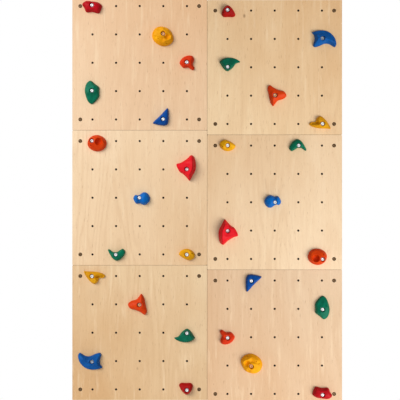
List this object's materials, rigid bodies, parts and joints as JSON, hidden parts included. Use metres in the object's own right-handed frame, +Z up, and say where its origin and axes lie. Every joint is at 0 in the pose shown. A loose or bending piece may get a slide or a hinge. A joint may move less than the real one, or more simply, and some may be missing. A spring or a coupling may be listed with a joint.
{
  "type": "climbing wall",
  "caption": "Upright climbing wall of drilled birch plywood panels on battens, with moulded coloured holds bolted into a grid of T-nut sockets.",
  "frame": {"origin": "on the building wall's plane behind the middle batten, at the middle of the climbing wall's width and height", "axes": "+X to the right seen from the front, +Y into the building wall, +Z up; holds point along -Y"},
  "size_m": [1.2, 0.0902, 1.819],
  "materials": {
    "plywood": "lacquered birch veneer, satin",
    "batten_wood": "planed softwood",
    "tnut_steel": "plain steel, dark and oiled",
    "bolt_steel": "zinc plated, bright",
    "screw_steel": "bronzed, dull",
    "red_resin": "moulded polyester resin, satin",
    "orange_resin": "moulded polyester resin, satin",
    "yellow_resin": "moulded polyester resin, satin",
    "green_resin": "moulded polyester resin, satin",
    "blue_resin": "moulded polyester resin, satin"
  },
  "bodies": {
    "wall": {"left_top_panel": "plywood", "left_middle_panel": "plywood", "left_bottom_panel": "plywood", "right_top_panel": "plywood", "right_middle_panel": "plywood", "right_bottom_panel": "plywood", "left_batten": "batten_wood", "middle_batten": "batten_wood", "right_batten": "batten_wood", "left_top_tnuts": "tnut_steel", "left_middle_tnuts": "tnut_steel", "left_bottom_tnuts": "tnut_steel", "right_top_tnuts": "tnut_steel", "right_middle_tnuts": "tnut_steel", "right_bottom_tnuts": "tnut_steel", "left_top_hold_bolts": "bolt_steel", "left_middle_hold_bolts": "bolt_steel", "left_bottom_hold_bolts": "bolt_steel", "right_top_hold_bolts": "bolt_steel", "right_middle_hold_bolts": "bolt_steel", "right_bottom_hold_bolts": "bolt_steel", "hold_washers": "bolt_steel", "left_top_panel_screws": "screw_steel", "left_middle_panel_screws": "screw_steel", "left_bottom_panel_screws": "screw_steel", "right_top_panel_screws": "screw_steel", "right_middle_panel_screws": "screw_steel", "right_bottom_panel_screws": "screw_steel"},
    "left_red_wedge": {"left_red_wedge": "red_resin"},
    "left_yellow_disc": {"left_yellow_disc": "yellow_resin"},
    "left_orange_knob": {"left_orange_knob": "orange_resin"},
    "left_green_oval": {"left_green_oval": "green_resin"},
    "left_blue_triangle": {"left_blue_triangle": "blue_resin"},
    "left_orange_pocket": {"left_orange_pocket": "orange_resin"},
    "left_red_fin": {"left_red_fin": "red_resin"},
    "left_blue_bean": {"left_blue_bean": "blue_resin"},
    "left_green_crescent": {"left_green_crescent": "green_resin"},
    "left_yellow_oval": {"left_yellow_oval": "yellow_resin"},
    "left_yellow_fork": {"left_yellow_fork": "yellow_resin"},
    "left_orange_spur": {"left_orange_spur": "orange_resin"},
    "left_green_bird": {"left_green_bird": "green_resin"},
    "left_blue_flag": {"left_blue_flag": "blue_resin"},
    "left_red_shield": {"left_red_shield": "red_resin"},
    "right_red_wedge": {"right_red_wedge": "red_resin"},
    "right_yellow_disc": {"right_yellow_disc": "yellow_resin"},
    "right_orange_knob": {"right_orange_knob": "orange_resin"},
    "right_green_oval": {"right_green_oval": "green_resin"},
    "right_blue_triangle": {"right_blue_triangle": "blue_resin"},
    "right_orange_pocket": {"right_orange_pocket": "orange_resin"},
    "right_red_fin": {"right_red_fin": "red_resin"},
    "right_blue_bean": {"right_blue_bean": "blue_resin"},
    "right_green_crescent": {"right_green_crescent": "green_resin"},
    "right_yellow_oval": {"right_yellow_oval": "yellow_resin"},
    "right_yellow_fork": {"right_yellow_fork": "yellow_resin"},
    "right_orange_spur": {"right_orange_spur": "orange_resin"},
    "right_green_bird": {"right_green_bird": "green_resin"},
    "right_blue_flag": {"right_blue_flag": "blue_resin"},
    "right_red_shield": {"right_red_shield": "red_resin"}
  },
  "joints": [
    {"name": "left_red_wedge_turn", "type": "hinge", "parent": "wall", "child": "left_red_wedge", "pos_m": [-0.51, -0.046, 0.862], "axis": [0, -1, 0], "continuous": true},
    {"name": "left_yellow_disc_turn", "type": "hinge", "parent": "wall", "child": "left_yellow_disc", "pos_m": [-0.195, -0.046, 0.736], "axis": [0, -1, 0], "continuous": true},
    {"name": "left_orange_knob_turn", "type": "hinge", "parent": "wall", "child": "left_orange_knob", "pos_m": [-0.09, -0.046, 0.61], "axis": [0, -1, 0], "continuous": true},
    {"name": "left_green_oval_turn", "type": "hinge", "parent": "wall", "child": "left_green_oval", "pos_m": [-0.51, -0.046, 0.484], "axis": [0, -1, 0], "continuous": true},
    {"name": "left_blue_triangle_turn", "type": "hinge", "parent": "wall", "child": "left_blue_triangle", "pos_m": [-0.195, -0.046, 0.358], "axis": [0, -1, 0], "continuous": true},
    {"name": "left_orange_pocket_turn", "type": "hinge", "parent": "wall", "child": "left_orange_pocket", "pos_m": [-0.51, -0.046, 0.262], "axis": [0, -1, 0], "continuous": true},
    {"name": "left_red_fin_turn", "type": "hinge", "parent": "wall", "child": "left_red_fin", "pos_m": [-0.09, -0.046, 0.136], "axis": [0, -1, 0], "continuous": true},
    {"name": "left_blue_bean_turn", "type": "hinge", "parent": "wall", "child": "left_blue_bean", "pos_m": [-0.3, -0.046, 0.01], "axis": [0, -1, 0], "continuous": true},
    {"name": "left_green_crescent_turn", "type": "hinge", "parent": "wall", "child": "left_green_crescent", "pos_m": [-0.405, -0.046, -0.242], "axis": [0, -1, 0], "continuous": true},
    {"name": "left_yellow_oval_turn", "type": "hinge", "parent": "wall", "child": "left_yellow_oval", "pos_m": [-0.09, -0.046, -0.242], "axis": [0, -1, 0], "continuous": true},
    {"name": "left_yellow_fork_turn", "type": "hinge", "parent": "wall", "child": "left_yellow_fork", "pos_m": [-0.51, -0.046, -0.338], "axis": [0, -1, 0], "continuous": true},
    {"name": "left_orange_spur_turn", "type": "hinge", "parent": "wall", "child": "left_orange_spur", "pos_m": [-0.3, -0.046, -0.464], "axis": [0, -1, 0], "continuous": true},
    {"name": "left_green_bird_turn", "type": "hinge", "parent": "wall", "child": "left_green_bird", "pos_m": [-0.09, -0.046, -0.59], "axis": [0, -1, 0], "continuous": true},
    {"name": "left_blue_flag_turn", "type": "hinge", "parent": "wall", "child": "left_blue_flag", "pos_m": [-0.51, -0.046, -0.716], "axis": [0, -1, 0], "continuous": true},
    {"name": "left_red_shield_turn", "type": "hinge", "parent": "wall", "child": "left_red_shield", "pos_m": [-0.09, -0.046, -0.842], "axis": [0, -1, 0], "continuous": true},
    {"name": "right_red_wedge_turn", "type": "hinge", "parent": "wall", "child": "right_red_wedge", "pos_m": [0.51, -0.046, -0.862], "axis": [0, -1, 0], "continuous": true},
    {"name": "right_yellow_disc_turn", "type": "hinge", "parent": "wall", "child": "right_yellow_disc", "pos_m": [0.195, -0.046, -0.736], "axis": [0, -1, 0], "continuous": true},
    {"name": "right_orange_knob_turn", "type": "hinge", "parent": "wall", "child": "right_orange_knob", "pos_m": [0.09, -0.046, -0.61], "axis": [0, -1, 0], "continuous": true},
    {"name": "right_green_oval_turn", "type": "hinge", "parent": "wall", "child": "right_green_oval", "pos_m": [0.51, -0.046, -0.484], "axis": [0, -1, 0], "continuous": true},
    {"name": "right_blue_triangle_turn", "type": "hinge", "parent": "wall", "child": "right_blue_triangle", "pos_m": [0.195, -0.046, -0.358], "axis": [0, -1, 0], "continuous": true},
    {"name": "right_orange_pocket_turn", "type": "hinge", "parent": "wall", "child": "right_orange_pocket", "pos_m": [0.51, -0.046, -0.262], "axis": [0, -1, 0], "continuous": true},
    {"name": "right_red_fin_turn", "type": "hinge", "parent": "wall", "child": "right_red_fin", "pos_m": [0.09, -0.046, -0.136], "axis": [0, -1, 0], "continuous": true},
    {"name": "right_blue_bean_turn", "type": "hinge", "parent": "wall", "child": "right_blue_bean", "pos_m": [0.3, -0.046, -0.01], "axis": [0, -1, 0], "continuous": true},
    {"name": "right_green_crescent_turn", "type": "hinge", "parent": "wall", "child": "right_green_crescent", "pos_m": [0.405, -0.046, 0.242], "axis": [0, -1, 0], "continuous": true},
    {"name": "right_yellow_oval_turn", "type": "hinge", "parent": "wall", "child": "right_yellow_oval", "pos_m": [0.09, -0.046, 0.242], "axis": [0, -1, 0], "continuous": true},
    {"name": "right_yellow_fork_turn", "type": "hinge", "parent": "wall", "child": "right_yellow_fork", "pos_m": [0.51, -0.046, 0.338], "axis": [0, -1, 0], "continuous": true},
    {"name": "right_orange_spur_turn", "type": "hinge", "parent": "wall", "child": "right_orange_spur", "pos_m": [0.3, -0.046, 0.464], "axis": [0, -1, 0], "continuous": true},
    {"name": "right_green_bird_turn", "type": "hinge", "parent": "wall", "child": "right_green_bird", "pos_m": [0.09, -0.046, 0.59], "axis": [0, -1, 0], "continuous": true},
    {"name": "right_blue_flag_turn", "type": "hinge", "parent": "wall", "child": "right_blue_flag", "pos_m": [0.51, -0.046, 0.716], "axis": [0, -1, 0], "continuous": true},
    {"name": "right_red_shield_turn", "type": "hinge", "parent": "wall", "child": "right_red_shield", "pos_m": [0.09, -0.046, 0.842], "axis": [0, -1, 0], "continuous": true}
  ]
}
